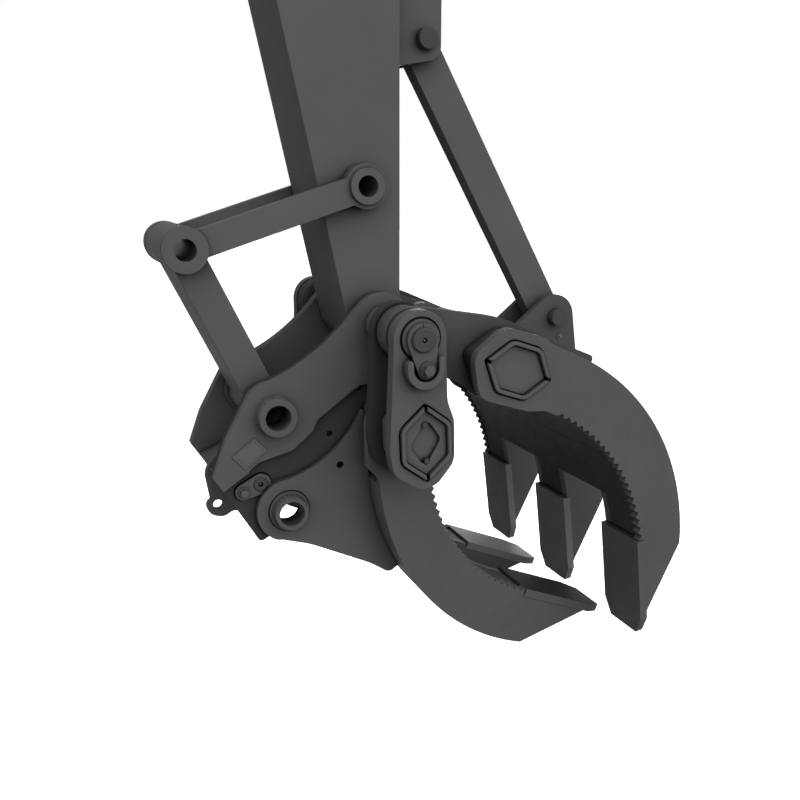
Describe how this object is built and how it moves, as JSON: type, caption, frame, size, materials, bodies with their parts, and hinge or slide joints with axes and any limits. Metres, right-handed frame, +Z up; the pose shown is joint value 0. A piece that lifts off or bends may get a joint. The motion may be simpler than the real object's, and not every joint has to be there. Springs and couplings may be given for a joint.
{
  "type": "demolition grapple",
  "caption": "Two-jaw demolition grapple hung on an excavator stick end, with toothed curved tines, a stiff strut, a quick coupler and the bucket linkage.",
  "frame": {"origin": "centre of the stick's cut top face", "axes": "+Z up along the stick, +X from the linkage towards the jaws, +Y along the pins, away from the viewer of the picture"},
  "size_m": [1.6219, 1.099, 2.3087],
  "materials": {
    "painted_steel": "satin",
    "pin_steel": "satin",
    "wear_steel": "satin"
  },
  "bodies": {
    "stick_and_upper_jaw": {"stick": "painted_steel", "bracket_lug_near": "painted_steel", "bracket_lug_far": "painted_steel", "strut": "painted_steel", "strut_pins": "pin_steel", "strut_spacers": "pin_steel", "upper_tube_top": "painted_steel", "upper_tube_bottom": "painted_steel", "upper_tube_covers": "painted_steel", "upper_collars": "painted_steel", "upper_arm_near": "painted_steel", "upper_arm_far": "painted_steel", "upper_outer_plate_near": "painted_steel", "upper_outer_plate_far": "painted_steel", "upper_inner_plates": "painted_steel", "upper_middle_plates": "painted_steel", "upper_inner_skin": "painted_steel", "upper_back_skins": "painted_steel", "upper_wear_plate_near": "wear_steel", "upper_wear_plate_middle": "wear_steel", "upper_wear_plate_far": "wear_steel", "strut_lug_near": "painted_steel", "strut_lug_far": "painted_steel"},
    "lower_jaw": {"fork_outer_near": "painted_steel", "fork_outer_far": "painted_steel", "fork_inner_near": "painted_steel", "fork_inner_far": "painted_steel", "lower_tube_front": "painted_steel", "lower_tube_rear": "painted_steel", "lower_tube_covers": "painted_steel", "access_covers": "painted_steel", "cover_bolts": "pin_steel", "lower_outer_plate_near": "painted_steel", "lower_outer_plate_far": "painted_steel", "lower_inner_plates": "painted_steel", "lower_inner_skin": "painted_steel", "lower_back_skins": "painted_steel", "lower_wear_plate_near": "wear_steel", "lower_wear_plate_far": "wear_steel", "ear_plate_near": "painted_steel", "ear_plate_far": "painted_steel", "coupler_plate_near": "painted_steel", "coupler_plate_far": "painted_steel", "coupler_cheek_near": "painted_steel", "coupler_cheek_far": "painted_steel", "coupler_cross_member": "painted_steel", "lifting_eye": "painted_steel", "lock_pin": "pin_steel", "stick_pin": "pin_steel", "hinge_pins": "pin_steel", "pin_keepers": "painted_steel", "keeper_bolts": "pin_steel", "bolt_guards": "painted_steel", "hinge_washers": "pin_steel", "name_plate": "painted_steel"},
    "tipping_link": {"tipping_link_bars": "painted_steel", "link_pins": "pin_steel"},
    "bucket_link": {"bucket_link": "painted_steel"}
  },
  "joints": [
    {"name": "jaw_opening", "type": "hinge", "parent": "stick_and_upper_jaw", "child": "lower_jaw", "pos_m": [0.1245, 0, -1.15], "axis": [0, 1, 0], "range_deg": [-8, 75]},
    {"name": "tipping_link_swing", "type": "hinge", "parent": "stick_and_upper_jaw", "child": "tipping_link", "pos_m": [0.0845, 0, -0.733], "axis": [0, 1, 0], "range_deg": [-6.6, 61.5]},
    {"name": "bucket_link_swing", "type": "hinge", "parent": "tipping_link", "child": "bucket_link", "pos_m": [-0.46568, 0, -0.90687], "axis": [0, 1, 0], "range_deg": [-47.5, 5.5]}
  ],
  "couplings": [
    {"joint": "tipping_link_swing", "follows": "jaw_opening", "ratio": 0.8118},
    {"joint": "bucket_link_swing", "follows": "jaw_opening", "ratio": -0.6238}
  ]
}
